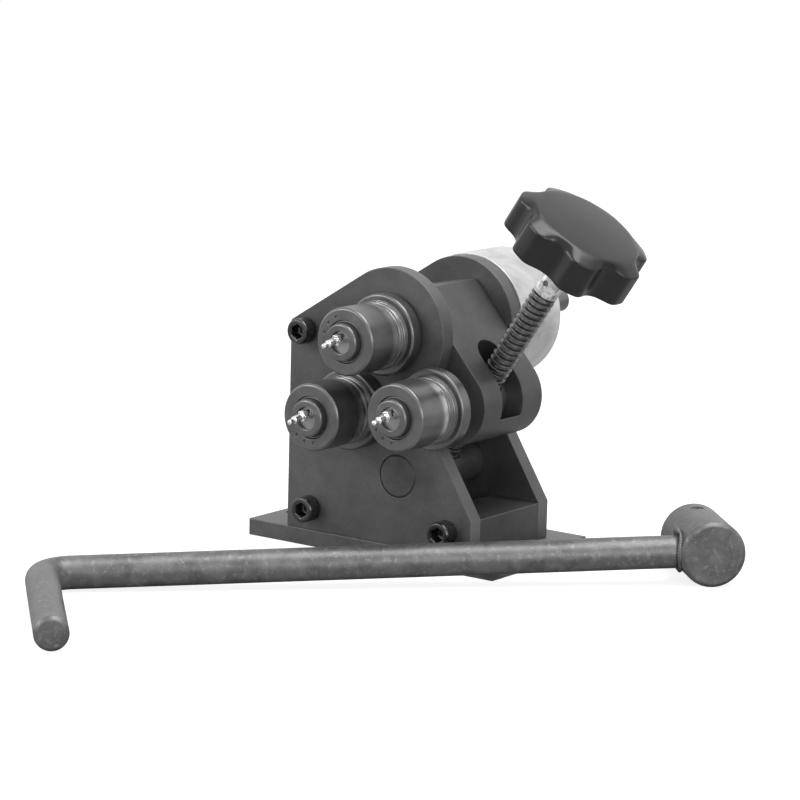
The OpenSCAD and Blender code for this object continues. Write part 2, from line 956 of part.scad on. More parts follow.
module pivot_pin() {
    color(raw_steel)
        difference() {
            translate([pin_x, 0, pin_z])
                intersection() {
                    nosed_rod_y(pivot_pin_d, y_front, y_rear, turned_chamfer);
                    mirror([0, 1, 0])
                        nosed_rod_y(pivot_pin_d, -y_rear, -y_front, turned_chamfer);
                }
            on_screw() {
                translate([0, 0, -pivot_pin_d])
                    cylinder(d = foot_journal_d + 2 * run_gap, h = 2 * pivot_pin_d);
                translate([0, 0, pin_flat])
                    cylinder(d = keeper_d + 2 * over, h = pivot_pin_d);
                translate([0, 0, -pin_flat - pivot_pin_d])
                    cylinder(d = keeper_d + 2 * over, h = pivot_pin_d);
            }
        }
}

// Outline of the screw: journal, threaded length and the stud that enters the knob
module screw_outline() {
    start = pin_flat + foot_gap;
    turns = floor((collar_start - start - screw_pitch) / screw_pitch);
    crest = screw_d / 2;
    root = crest - thread_depth;
    ridge = [[crest, 0], [crest, crest_end_share], [root, root_start_share], [root, root_end_share]];
    polygon(concat(
        [[0, keeper_start], [foot_journal_d / 2, keeper_start], [foot_journal_d / 2, start]],
        [for (i = [0:turns - 1])
            for (p = ridge)
                [p[0], start + (i + p[1]) * screw_pitch]],
        [
            [crest, start + turns * screw_pitch],
            [crest, collar_start],
            [head_stud_d / 2, collar_start],
            [head_stud_d / 2, knob_start + stud_in_knob],
            [0, knob_start + stud_in_knob]
        ]
    ));
}

module adjusting_screw() {
    color(raw_steel)
        on_screw()
            difference() {
                rotate_extrude()
                    screw_outline();
                translate([0, keeper_d, keeper_start + keeper_l / 2])
                    rotate([90, 0, 0])
                        cylinder(d = cross_pin_d, h = 2 * keeper_d);
                translate([0, keeper_d, collar_start + collar_l / 2])
                    rotate([90, 0, 0])
                        cylinder(d = cross_pin_d, h = 2 * keeper_d);
            }
}

module pinned_collar(d, bore, start, length) {
    difference() {
        translate([0, 0, start])
            cylinder(d = d, h = length);
        translate([0, 0, start - over])
            cylinder(d = bore, h = length + 2 * over);
        translate([0, d, start + length / 2])
            rotate([90, 0, 0])
                cylinder(d = cross_pin_d, h = 2 * d);
    }
}

module screw_keeper() {
    color(black_steel)
        on_screw()
            pinned_collar(keeper_d, foot_journal_d, keeper_start, keeper_l);
}

module keeper_pin() {
    color(raw_steel)
        on_screw()
            translate([0, keeper_d / 2, keeper_start + keeper_l / 2])
                rotate([90, 0, 0])
                    cylinder(d = cross_pin_d, h = keeper_d);
}

module knob_collar() {
    color(zinc)
        on_screw()
            pinned_collar(collar_d, head_stud_d, collar_start, collar_l);
}

module collar_pin() {
    color(raw_steel)
        on_screw()
            translate([0, collar_d / 2, collar_start + collar_l / 2])
                rotate([90, 0, 0])
                    cylinder(d = cross_pin_d, h = collar_d);
}

// Knob with a domed top and scallops that widen towards it
module star_knob() {
    dome_r = (pow(knob_d / 2, 2) + pow(knob_dome_h, 2)) / (2 * knob_dome_h);
    scallop_at = knob_valley_d / 2 + scallop_r;
    flare_h = knob_h - scallop_straight_h;
    color(knob_black)
        on_screw()
            difference() {
                union() {
                    intersection() {
                        translate([0, 0, knob_start])
                            cylinder(d = knob_d, h = knob_h);
                        translate([0, 0, knob_start + knob_h - dome_r])
                            sphere(r = dome_r, $fn = 128);
                    }
                    translate([0, 0, collar_start + collar_l])
                        cylinder(d = knob_hub_d, h = knob_start - collar_start - collar_l + over);
                }
                for (i = [0:knob_lobes - 1])
                    rotate(knob_turn + i * 360 / knob_lobes)
                        translate([scallop_at, 0, knob_start]) {
                            translate([0, 0, -over])
                                cylinder(r = scallop_r, h = scallop_straight_h + 2 * over);
                            translate([0, 0, scallop_straight_h])
                                cylinder(r1 = scallop_r, r2 = scallop_r + scallop_flare, h = flare_h);
                        }
                translate([0, 0, collar_start])
                    cylinder(d = head_stud_d, h = knob_start + stud_in_knob - collar_start);
            }
}

// Half of a tooth's angle at radius r on a gear whose tooth fills half of its pitch circle
function involute_angle(a) = tan(a) * 180 / PI - a;
function half_tooth(r, teeth, slack) =
    let (pitch_r = gear_module * teeth / 2)
    let (base_r = pitch_r * cos(pressure_angle))
    let (a = r > base_r ? acos(base_r / r) : 0)
    90 / teeth + involute_angle(pressure_angle) - involute_angle(a) + slack / pitch_r * 180 / PI / 2;

function gear_points(teeth, outer, inner, slack) =
    let (base_r = gear_module * teeth / 2 * cos(pressure_angle))
    let (foot_r = max(inner, base_r))
    let (radii = [inner, foot_r + (outer - foot_r) / 4, (outer + foot_r) / 2, outer])
    [for (i = [0:teeth - 1])
        for (k = [0:7])
            let (r = radii[k < 4 ? k : 7 - k])
            let (side = k < 4 ? -1 : 1)
            let (a = i * 360 / teeth + side * half_tooth(r, teeth, slack))
            [r * cos(a), r * sin(a)]];

module spur_gear(teeth) {
    pitch_r = gear_module * teeth / 2;
    polygon(gear_points(teeth, pitch_r + gear_module, pitch_r - gear_module * 5 / 4, -backlash));
}

module ring_space() {
    pitch_r = gear_module * ring_teeth / 2;
    polygon(gear_points(ring_teeth, pitch_r + gear_module * 5 / 4, pitch_r - gear_module, backlash));
}

module reducer_housing() {
    color(cast_alloy)
        at_top()
            difference() {
                rod_y(housing_d, y_rear, y_housing_end);
                rod_y(ring_outer_d, y_rear - over, y_rear + ring_w);
                rod_y(input_bush_d, y_rear, y_housing_end + over);
                case_screw_places()
                    rod_y(case_screw_d + screw_hole_gap, y_rear, y_housing_end + over);
            }
}

module case_screw_places() {
    for (i = [0:case_screws - 1])
        rotate([0, (i + 1 / 2) * 360 / case_screws, 0])
            translate([case_screw_r, 0, 0])
                children();
}

module ring_gear() {
    color(raw_steel)
        at_top()
            difference() {
                slab_y(y_rear, ring_w)
                    difference() {
                        circle(d = ring_outer_d);
                        rotate(90)
                            ring_space();
                    }
                case_screw_places()
                    rod_y(case_screw_d + screw_hole_gap, y_rear - over, y_rear + ring_w + over);
            }
}

module reducer_cover() {
    color(cast_alloy)
        at_top()
            difference() {
                union() {
                    translate([0, y_cover_end, 0])
                        mirror([0, 1, 0])
                            nosed_rod_y(housing_d, 0, cover_t, 2 * turned_chamfer);
                    rod_y(cover_boss_d, y_cover_end - over, y_cover_end + cover_boss_l);
                }
                rod_y(input_bush_d, y_housing_end - over, y_cover_end + cover_boss_l + over);
                case_screw_places() {
                    rod_y(case_screw_d + screw_hole_gap, y_housing_end - over, y_cover_end + over);
                    rod_y(case_head_d, y_cover_end - case_head_h, y_cover_end + over);
                }
            }
}

module reducer_screws() {
    head_y = y_cover_end - case_head_h;
    color(black_steel)
        at_top()
            case_screw_places()
                translate([0, head_y, 0])
                    mirror([0, 1, 0])
                        cap_screw(case_screw_d, case_head_d, case_head_h,
                            head_y - y_rear_in - plate_t / 3, case_screw_d * 4 / 5, case_head_h / 2);
}

module input_bush() {
    bore = input_journal_d + 2 * run_gap;
    color(bronze)
        at_top()
            tube_y(input_bush_d, bore, sun_y + sun_w + foot_gap, y_cover_end + cover_boss_l);
}

module planet_places() {
    for (i = [0:planets - 1])
        planet_place(i)
            children();
}

module planet_place(i) {
    rotate([0, -(90 + i * 360 / planets), 0])
        translate([orbit_r, 0, 0])
            children();
}

module planet_carrier() {
    color(raw_steel)
        at_top()
            difference() {
                rod_y(carrier_d, carrier_y, carrier_y + carrier_t);
                rod_y(carrier_seat_d, carrier_y - over, carrier_y + carrier_t + over);
                translate([-key_w / 2, carrier_y - over, 0])
                    cube([key_w, carrier_t + 2 * over, carrier_seat_d / 2 + key_h / 2]);
                planet_places()
                    rod_y(planet_pin_d, carrier_y - over, carrier_y + carrier_t + over);
            }
}

module carrier_key() {
    color(raw_steel)
        at_top()
            translate([-key_w / 2, carrier_y, carrier_seat_d / 2 - key_h / 2])
                cube([key_w, carrier_key_l, key_h]);
}

// Pins pressed into the carrier, each with a shoulder that spaces its planet
module planet_pins() {
    color(raw_steel)
        at_top()
            planet_places() {
                rod_y(planet_pin_d, carrier_y, planet_y + planet_w + planet_pin_stub);
                rod_y(planet_pin_d * 3 / 2, carrier_y + carrier_t, planet_y - nut_play);
            }
}

module planet_gear(i) {
    color(raw_steel)
        at_top()
            planet_place(i)
                difference() {
                    slab_y(planet_y, planet_w)
                        rotate(180)
                            spur_gear(planet_teeth);
                    rod_y(planet_pin_d + 2 * run_gap, planet_y - over, planet_y + planet_w + over);
                }
}

module planet_gear_1() {
    planet_gear(0);
}

module planet_gear_2() {
    planet_gear(1);
}

module planet_gear_3() {
    planet_gear(2);
}

// Input shaft cut in one with the sun pinion: a journal in the bush, then a thinner free end
module input_shaft() {
    free_end = y_cover_end + input_l;
    color(raw_steel)
        at_top()
            difference() {
                union() {
                    slab_y(sun_y, sun_w)
                        spur_gear(sun_teeth);
                    rod_y(input_journal_d, sun_y + sun_w - journal_lap, input_step_y);
                    rod_y(input_d, input_step_y - over, free_end - turned_chamfer);
                    translate([0, free_end, 0])
                        mirror([0, 1, 0])
                            nosed_rod_y(input_d, 0, 2 * turned_chamfer, turned_chamfer);
                }
                translate([-input_d, free_end - input_flat_l, input_d * input_flat_share])
                    cube([2 * input_d, input_flat_l + over, input_d]);
            }
}

// Local frame of the loose crank: hub along Y, bar along X towards the grip, lying on the bench
module crank_frame() {
    translate([crank_x, crank_y, crank_hub_d / 2])
        rotate([0, 0, crank_yaw])
            rotate([0, -crank_slope, 0])
                children();
}

module crank_bar() {
    reach = crank_l - crank_bend_r;
    color(raw_steel)
        crank_frame()
            difference() {
                union() {
                    translate([-reach, 0, 0])
                        rotate([0, 90, 0])
                            cylinder(d = crank_bar_d, h = reach);
                    translate([-reach, -crank_bend_r, 0])
                        rotate([0, 0, 90])
                            rotate_extrude(angle = 90)
                                translate([crank_bend_r, 0])
                                    circle(d = crank_bar_d);
                    translate([-crank_l, 0, 0])
                        nosed_rod_y(crank_bar_d, -grip_l, -crank_bend_r, grip_chamfer);
                }
                rod_y(crank_hub_d, -crank_hub_l, crank_hub_l);
            }
}

module crank_hub() {
    front = -crank_bar_inset;
    back = front + crank_hub_l;
    color(raw_steel)
        crank_frame()
            difference() {
                intersection() {
                    nosed_rod_y(crank_hub_d, front, back, crank_hub_chamfer);
                    mirror([0, 1, 0])
                        nosed_rod_y(crank_hub_d, -back, -front, crank_hub_chamfer);
                }
                rod_y(input_d + 2 * socket_gap, back - socket_depth, back + over);
                translate([0, back - crank_hub_l / 4, 0])
                    cylinder(d = set_screw_d, h = crank_hub_d);
            }
}

// Fillet weld round the bar where it meets the hub
module crank_weld() {
    color(raw_steel)
        crank_frame()
            difference() {
                translate([-crank_hub_d / 2, 0, 0])
                    rotate([0, 90, 0])
                        cylinder(d1 = crank_bar_d + weld_r / 2, d2 = crank_bar_d + 2 * weld_r, h = 2 * weld_r,
                            center = true);
                rod_y(crank_hub_d, -crank_hub_l, crank_hub_l);
                translate([-crank_hub_d, 0, 0])
                    rotate([0, 90, 0])
                        cylinder(d = crank_bar_d, h = crank_hub_d);
            }
}

module crank_set_screw() {
    back = crank_hub_l - crank_bar_inset;
    color(black_steel)
        crank_frame()
            translate([0, back - crank_hub_l / 4, crank_hub_d / 2 - set_screw_l])
                difference() {
                    cylinder(d = set_screw_d, h = set_screw_l - turned_chamfer);
                    translate([0, 0, set_screw_l / 2])
                        cylinder(d = set_screw_d / 2 / cos(30), h = set_screw_l, $fn = 6);
                }
}

base_plate();
front_side_plate();
rear_side_plate();
left_foot_block();
right_foot_block();
upper_spacer_bar();
frame_screws();
base_screws();
left_roller();
left_roller_bushes();
left_axle();
left_thrust_washer();
left_ring_nut();
left_grease_nipple();
left_axle_nut();
top_roller();
drive_shaft();
roller_key();
top_ring_nut();
top_grease_nipple();
front_shaft_bush();
rear_shaft_bush();
swing_arm();
arm_bush();
right_axle();
right_sleeve();
right_ring_nut();
right_grease_nipple();
right_roller();
right_roller_bushes();
pivot_pin();
adjusting_screw();
screw_keeper();
keeper_pin();
knob_collar();
collar_pin();
star_knob();
reducer_housing();
ring_gear();
reducer_cover();
reducer_screws();
input_bush();
planet_carrier();
carrier_key();
planet_pins();
planet_gear_1();
planet_gear_2();
planet_gear_3();
input_shaft();
crank_bar();
crank_hub();
crank_weld();
crank_set_screw();
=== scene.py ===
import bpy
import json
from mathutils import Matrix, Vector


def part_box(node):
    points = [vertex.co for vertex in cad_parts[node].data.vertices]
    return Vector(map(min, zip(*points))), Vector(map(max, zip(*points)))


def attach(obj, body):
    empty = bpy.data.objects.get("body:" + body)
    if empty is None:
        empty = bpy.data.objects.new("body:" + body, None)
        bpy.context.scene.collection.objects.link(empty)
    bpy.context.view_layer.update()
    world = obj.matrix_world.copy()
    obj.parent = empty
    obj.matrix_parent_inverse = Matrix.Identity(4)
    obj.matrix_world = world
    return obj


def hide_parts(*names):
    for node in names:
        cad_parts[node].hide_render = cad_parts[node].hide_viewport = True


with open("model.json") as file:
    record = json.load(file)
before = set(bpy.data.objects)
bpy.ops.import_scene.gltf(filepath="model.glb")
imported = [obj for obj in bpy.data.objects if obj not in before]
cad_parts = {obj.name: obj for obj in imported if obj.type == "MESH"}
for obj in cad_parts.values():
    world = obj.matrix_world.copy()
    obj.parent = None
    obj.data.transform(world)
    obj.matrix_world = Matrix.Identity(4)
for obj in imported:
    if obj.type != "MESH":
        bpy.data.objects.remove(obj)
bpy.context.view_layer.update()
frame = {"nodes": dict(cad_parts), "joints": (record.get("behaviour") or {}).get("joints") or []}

# Camera, standing where the photograph was taken from: about two metres away, to the right of the rollers
# and slightly above them, with a long lens and a slight tilt of the horizon.
import json
import math

import bmesh
import bpy
from mathutils import Matrix, Vector, noise

camera_place = (1.1411, -1.6094, 0.4569)
camera_right = Vector((0.80896, 0.58728, 0.02611)).normalized()
camera_up = Vector((-0.12784, 0.13240, 0.98292)).normalized()
camera_turn = Matrix((camera_right, camera_up, camera_right.cross(camera_up))).transposed()
camera_lens = bpy.data.cameras.new("camera")
camera_lens.sensor_width = 36
camera_lens.lens = 144.7
camera_lens.clip_end = 50
camera = bpy.data.objects.new("camera", camera_lens)
bpy.context.scene.collection.objects.link(camera)
camera.matrix_world = Matrix.Translation(camera_place) @ camera_turn.to_4x4()
bpy.context.scene.camera = camera
bpy.context.scene.view_settings.view_transform = "Standard"


# Studio floor: one broad sheet of matt white board. It takes the machine's soft shadow, and shows white
# to the camera and in the steel's reflections.
def wire(tree, source, target):
    tree.links.new(source, target)


floor_half, floor_drop = 8, 0.0002
board_tone, board_glow = 0.52, 0.84
floor_sides = ((-1, -1), (1, -1), (1, 1), (-1, 1))
floor_corners = [(x * floor_half, y * floor_half, -floor_drop) for x, y in floor_sides]
floor_mesh = bpy.data.meshes.new("studio_floor")
floor_mesh.from_pydata(floor_corners, [], [(0, 1, 2, 3)])
floor = bpy.data.objects.new("studio_floor", floor_mesh)
bpy.context.scene.collection.objects.link(floor)
board = bpy.data.materials.new("white_board")
board.use_nodes = True
nodes = board.node_tree.nodes
nodes.clear()
board_out = nodes.new("ShaderNodeOutputMaterial")
board_paint = nodes.new("ShaderNodeBsdfDiffuse")
board_paint.inputs["Color"].default_value = (board_tone, board_tone, board_tone, 1)
board_lift = nodes.new("ShaderNodeEmission")
board_lift.inputs["Strength"].default_value = board_glow
board_none = nodes.new("ShaderNodeEmission")
board_none.inputs["Strength"].default_value = 0
board_pick = nodes.new("ShaderNodeMixShader")
board_sum = nodes.new("ShaderNodeAddShader")
board_ray = nodes.new("ShaderNodeLightPath")
wire(board.node_tree, board_ray.outputs["Is Camera Ray"], board_pick.inputs[0])
wire(board.node_tree, board_none.outputs[0], board_pick.inputs[1])
wire(board.node_tree, board_lift.outputs[0], board_pick.inputs[2])
wire(board.node_tree, board_paint.outputs[0], board_sum.inputs[0])
wire(board.node_tree, board_pick.outputs[0], board_sum.inputs[1])
wire(board.node_tree, board_sum.outputs[0], board_out.inputs["Surface"])
floor_mesh.materials.append(board)

# Studio light: a pale room, one large soft box overhead, a softer one at the left front, and a long strip
# at the right that draws the fine highlights along the rollers' edges.
room_glow = 0.3
machine_middle = Vector((0.02, 0, 0.09))
room = bpy.data.worlds.new("studio_room")
bpy.context.scene.world = room
room.use_nodes = True
nodes = room.node_tree.nodes
nodes.clear()
room_out = nodes.new("ShaderNodeOutputWorld")
room_light = nodes.new("ShaderNodeBackground")
room_seen = nodes.new("ShaderNodeBackground")
for backdrop, strength in ((room_light, room_glow), (room_seen, 1)):
    backdrop.inputs["Color"].default_value = (1, 1, 1, 1)
    backdrop.inputs["Strength"].default_value = strength
room_pick = nodes.new("ShaderNodeMixShader")
room_ray = nodes.new("ShaderNodeLightPath")
seen_white = room_ray.outputs["Is Camera Ray"]
for other_ray in ("Is Transmission Ray", "Is Glossy Ray"):
    either = nodes.new("ShaderNodeMath")
    either.operation = "MAXIMUM"
    wire(room.node_tree, seen_white, either.inputs[0])
    wire(room.node_tree, room_ray.outputs[other_ray], either.inputs[1])
    seen_white = either.outputs[0]
wire(room.node_tree, seen_white, room_pick.inputs[0])
wire(room.node_tree, room_light.outputs[0], room_pick.inputs[1])
wire(room.node_tree, room_seen.outputs[0], room_pick.inputs[2])
wire(room.node_tree, room_pick.outputs[0], room_out.inputs["Surface"])


def soft_box(name, place, width, height, power):
    lamp = bpy.data.lights.new(name, "AREA")
    lamp.shape = "RECTANGLE"
    lamp.size = width
    lamp.size_y = height
    lamp.energy = power
    holder = bpy.data.objects.new(name, lamp)
    bpy.context.scene.collection.objects.link(holder)
    holder.location = place
    holder.rotation_euler = (machine_middle - Vector(place)).to_track_quat("-Z", "Y").to_euler()


soft_box("overhead_box", (0.55, 0.1, 1.76), 1.4, 1.1, 27)
soft_box("left_front_box", (-1.15, -1.4, 1.05), 0.9, 0.9, 14)
soft_box("right_strip", (1.5, -0.88, 0.5), 0.25, 0.7, 5)


# Base plate: one flat piece of mild steel, sawn to size, its edges milled, drilled near its four corners for
# the bench, then blackened in hot oxide and oiled like the side plates that stand on it.
mm = 0.001
same_corner = 1e-6
flush_angle, edge_angle = math.radians(0.4), math.radians(38)
big_face_weight = 80


def add_node(tree, kind, **values):
    """Adds a shader node. Each value goes to the setting, or else to the socket, of that name."""
    made = tree.nodes.new(kind)
    for key, value in values.items():
        if hasattr(made, key):
            setattr(made, key, value)
        else:
            made.inputs[key.replace("_", " ")].default_value = value
    return made


def start_finish(name, metallic=0.0):
    """Opens a finish, and gives it with its nodes, its shader and the place on the piece."""
    finish = bpy.data.materials.new(name)
    finish.use_nodes = True
    tree = finish.node_tree
    shader = tree.nodes["Principled BSDF"]
    shader.inputs["Metallic"].default_value = metallic
    return finish, tree, shader, add_node(tree, "ShaderNodeTexCoord").outputs["Object"]


def mottle(tree, place, **values):
    """Clouds or specks over the whole piece."""
    pattern = add_node(tree, "ShaderNodeTexNoise", **values)
    wire(tree, place, pattern.inputs["Vector"])
    return pattern.outputs["Fac"]


def add_share(tree, part, share, whole):
    """Adds a share of one pattern to another."""
    added = add_node(tree, "ShaderNodeMath", operation="MULTIPLY_ADD")
    added.inputs[1].default_value = share
    wire(tree, part, added.inputs[0])
    wire(tree, whole, added.inputs[2])
    return added.outputs[0]


def shade_by(tree, pattern, tone, low, dark, high, pale):
    """Goes from dark to pale, both times tone, as a pattern goes from low to high."""
    shade = add_node(tree, "ShaderNodeValToRGB")
    for step, position, colour in zip(shade.color_ramp.elements, (low, high), (dark, pale)):
        step.position = position
        step.color = (*(tone * part for part in colour), 1)
    wire(tree, pattern, shade.inputs["Fac"])
    return shade.outputs["Color"]


def spread(tree, pattern, least, most, low=0.0, high=1.0):
    """Goes from least to most as a pattern goes from low to high, and no further."""
    step = add_node(tree, "ShaderNodeMapRange")
    for key, value in (("From Min", low), ("From Max", high), ("To Min", least), ("To Max", most)):
        step.inputs[key].default_value = value
    wire(tree, pattern, step.inputs["Value"])
    return step.outputs["Result"]


def lift_skin(tree, shader, pattern, strength, height):
    """Lets a pattern stand up from the surface by a height."""
    skin = add_node(tree, "ShaderNodeBump", Strength=strength, Distance=height)
    wire(tree, pattern, skin.inputs["Height"])
    wire(tree, skin.outputs["Normal"], shader.inputs["Normal"])


def lay_over(tree, share, under, over):
    """Covers a colour with another, over, by a share."""
    blend = add_node(tree, "ShaderNodeMix", data_type="RGBA")
    blend.inputs[7].default_value = (*over, 1)
    wire(tree, share, blend.inputs[0])
    wire(tree, under, blend.inputs[6])
    return blend.outputs[2]


def rub_and_highlight_edges(tree, place, colour, bare_and_highlight, reach, amount, ragged=0.12):
    """Paints the edges paler: bare metal where hands and tools rub the finish off, and a painted highlight
    along them.
    """
    here = add_node(tree, "ShaderNodeNewGeometry")
    rounded = add_node(tree, "ShaderNodeBevel", samples=6, Radius=reach)
    along = add_node(tree, "ShaderNodeVectorMath", operation="DOT_PRODUCT")
    wire(tree, here.outputs["Normal"], along.inputs[0])
    wire(tree, rounded.outputs["Normal"], along.inputs[1])
    chips = mottle(tree, place, Scale=220, Detail=4, Roughness=0.65)
    broken = add_share(tree, chips, ragged, along.outputs["Value"])
    bared_and_highlit = spread(tree, broken, 0, amount, low=1 + ragged / 4, high=0.86)
    return lay_over(tree, bared_and_highlit, colour, (bare_and_highlight, bare_and_highlight, bare_and_highlight * 1.01))


def black_oxide(name, tone, patches=30, grain=650, roughness=0.44, metallic=0.35, wear_and_highlight=0.6, bare_and_highlight=0.3):
    """Blackened steel: slightly cloudy, a fine tooth in the surface, paler along its edges as rubbed wear and
    as a painted highlight.
    """
    finish, tree, shader, place = start_finish(name, metallic)
    cloud = mottle(tree, place, Scale=patches, Detail=6, Roughness=0.62)
    speck = mottle(tree, place, Scale=grain, Detail=3, Roughness=0.55)
    both = add_share(tree, speck, 0.3, cloud)
    colour = shade_by(tree, both, tone, 0.4, (0.7, 0.7, 0.71), 0.92, (1.4, 1.4, 1.41))
    wire(tree, rub_and_highlight_edges(tree, place, colour, bare_and_highlight, 1.1 * mm, wear_and_highlight), shader.inputs["Base Color"])
    wire(tree, spread(tree, cloud, roughness - 0.08, roughness + 0.1), shader.inputs["Roughness"])
    lift_skin(tree, shader, speck, 0.25, 0.12 * mm)
    return finish


def dress(node_name, finish, edge_break=0.0):
    """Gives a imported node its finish, and breaks its sharp edges by the width a file or a wheel leaves."""
    shown = frame["nodes"][node_name]
    shown.data.materials.clear()
    shown.data.materials.append(finish)
    if edge_break:
        joined = shown.modifiers.new("joined_corners", "WELD")
        joined.merge_threshold = same_corner
        flush = shown.modifiers.new("flush_faces", "DECIMATE")
        flush.decimate_type = "DISSOLVE"
        flush.angle_limit = flush_angle
        eased = shown.modifiers.new("broken_edges", "BEVEL")
        eased.width = edge_break
        eased.segments = 2
        eased.limit_method = "ANGLE"
        eased.angle_limit = edge_angle
        eased.use_clamp_overlap = False
        shown.modifiers.new("even_faces", "WEIGHTED_NORMAL").weight = big_face_weight


dress("base_plate", black_oxide("base_black", 0.132), 0.6 * mm)

# Side plates: two thick cheeks of mild steel, cut to one outline and bored together, then blackened. They
# carry both fixed axles, and cap screws hold them to the blocks and bar that stand between them.
plate_black = black_oxide("plate_black", 0.108)
for cheek in ("front_side_plate", "rear_side_plate"):
    dress(cheek, plate_black, 0.5 * mm)

# Foot blocks and upper bar: the blocks are sawn from square steel and screwed down from under the base, and
# the bar is a round spacer with a tapped hole in each end. All are blackened.
block_black = black_oxide("block_black", 0.075, patches=45)
for spacer in ("left_foot_block", "right_foot_block", "upper_spacer_bar"):
    dress(spacer, block_black, 0.5 * mm)

# Cap screws of the side plates: high-tensile steel, cold headed with a knurled rim and a hexagon socket,
# black oxide. Six are screwed through the plates, three from each side, and their rims are painted pale as
# rubbed wear and as a painted highlight.
cap_d, cap_h = 16 * mm, 10 * mm
cap_shank, cap_reach = 10 * mm, 26.5 * mm
cap_socket, cap_socket_deep = 8 * mm, 5.5 * mm
cap_knurls, cap_knurl_depth = 42, 0.28 * mm
points_a_knurl = 4
cap_places = ((-51, 136), (-45, 24.5), (58.5, 24.5))
frame_front, frame_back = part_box("front_side_plate")[0].y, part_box("rear_side_plate")[1].y


def lathe_wall(mesh, rings, count):
    """Joins rings of the same number of points with a wall of four-cornered faces."""
    for below, above in zip(rings, rings[1:]):
        for k in range(count):
            following = (k + 1) % count
            mesh.faces.new((below[k], below[following], above[following], above[k]))


def cap_screw(mesh, x, z, seat, out):
    """One cap screw whose head rests on the plane y = seat and points along out, -1 or 1 along Y."""
    points = cap_knurls * points_a_knurl
    head_r, shank_r, half = cap_d / 2, cap_shank / 2, cap_socket / 2

    def ring(rise, radius_at):
        made = []
        for k in range(points):
            turn = 2 * math.pi * k / points
            r = radius_at(turn)
            made.append(mesh.verts.new((x + r * math.cos(turn), seat + out * rise, z + r * math.sin(turn))))
        return made

    def plain(r, rise):
        return ring(rise, lambda turn: r)

    def knurled(rise):
        return ring(rise, lambda turn: head_r - cap_knurl_depth * (0.5 - 0.5 * math.cos(turn * cap_knurls)))

    def hexagon(flat_r, rise):
        sixth = math.pi / 3
        return ring(rise, lambda turn: flat_r / math.cos((turn + sixth / 2) % sixth - sixth / 2))

    # From the shank's tip over the head's rim to the floor of the socket.
    rings = [
        plain(shank_r - 0.8 * mm, -cap_reach),
        plain(shank_r, -cap_reach + 0.8 * mm),
        plain(shank_r, 0),
        plain(head_r - 0.3 * mm, 0),
        plain(head_r, 0.35 * mm),
        knurled(1.1 * mm),
        knurled(cap_h - 2.2 * mm),
        plain(head_r, cap_h - 1.5 * mm),
        plain(head_r - 0.12 * mm, cap_h - 1.05 * mm),
        plain(head_r - 0.9 * mm, cap_h - 0.12 * mm),
        plain(head_r - 1.2 * mm, cap_h),
        plain(half * 1.26, cap_h),
        hexagon(half * 1.04, cap_h - 0.55 * mm),
        hexagon(half, cap_h - 0.9 * mm),
        hexagon(half, cap_h - cap_socket_deep),
        plain(half * 0.5, cap_h - cap_socket_deep - 1.1 * mm),
    ]
    lathe_wall(mesh, rings, points)
    mesh.faces.new(rings[0][::-1])
    mesh.faces.new(rings[-1])


def put_together(mesh, name, body, finish, *stands_for):
    """Makes an object of a finished mesh, tidies its faces, and lets it ride in place of its nodes."""
    bmesh.ops.remove_doubles(mesh, verts=mesh.verts, dist=same_corner / 10)
    bmesh.ops.dissolve_degenerate(mesh, edges=mesh.edges, dist=same_corner / 10)
    bmesh.ops.recalc_face_normals(mesh, faces=mesh.faces)
    for face in mesh.faces:
        face.smooth = True
    made = bpy.data.meshes.new(name)
    mesh.to_mesh(made)
    mesh.free()
    piece = bpy.data.objects.new(name, made)
    bpy.context.scene.collection.objects.link(piece)
    made.materials.append(finish)
    piece.modifiers.new("even_faces", "WEIGHTED_NORMAL").weight = big_face_weight
    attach(piece, body)
    if stands_for:
        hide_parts(*stands_for)
    return piece


screw_black = black_oxide(
    "screw_black", 0.08, patches=160, grain=1500, roughness=0.25, metallic=0.9, wear_and_highlight=1.0, bare_and_highlight=0.95
)
cap_mesh = bmesh.new()
for across, up in cap_places:
    cap_screw(cap_mesh, across * mm, up * mm, frame_front, -1)
    cap_screw(cap_mesh, across * mm, up * mm, frame_back, 1)
frame_cap_screws = put_together(cap_mesh, "frame_cap_screws", "frame", screw_black, "frame_screws")

# Lesser fasteners: countersunk screws under the base, the nut that draws up the left axle, the four cap
# screws of the reducer's cover, and the collar that keeps the adjusting screw's foot. All are black oxide.
for fastener in ("base_screws", "left_axle_nut", "reducer_screws", "screw_keeper"):
    dress(fastener, screw_black, 0.3 * mm)


# Axles: bright drawn bar, turned down at the nose for the ring nut. The left one is shouldered between the
# plates and drawn up by its nut, and the right one, whose thick half is the cross nut, carries a sleeve.
def from_axis(tree, place, x, z):
    """How far a place lies from an axis along Y, and how far along it."""
    centred = add_node(tree, "ShaderNodeVectorMath", operation="SUBTRACT")
    centred.inputs[1].default_value = (x, 0, z)
    flat = add_node(tree, "ShaderNodeVectorMath", operation="MULTIPLY")
    flat.inputs[1].default_value = (1, 0, 1)
    radius = add_node(tree, "ShaderNodeVectorMath", operation="LENGTH")
    parts = add_node(tree, "ShaderNodeSeparateXYZ")
    wire(tree, place, centred.inputs[0])
    wire(tree, centred.outputs["Vector"], flat.inputs[0])
    wire(tree, flat.outputs["Vector"], radius.inputs[0])
    wire(tree, place, parts.inputs[0])
    return radius.outputs["Value"], parts.outputs["Y"]


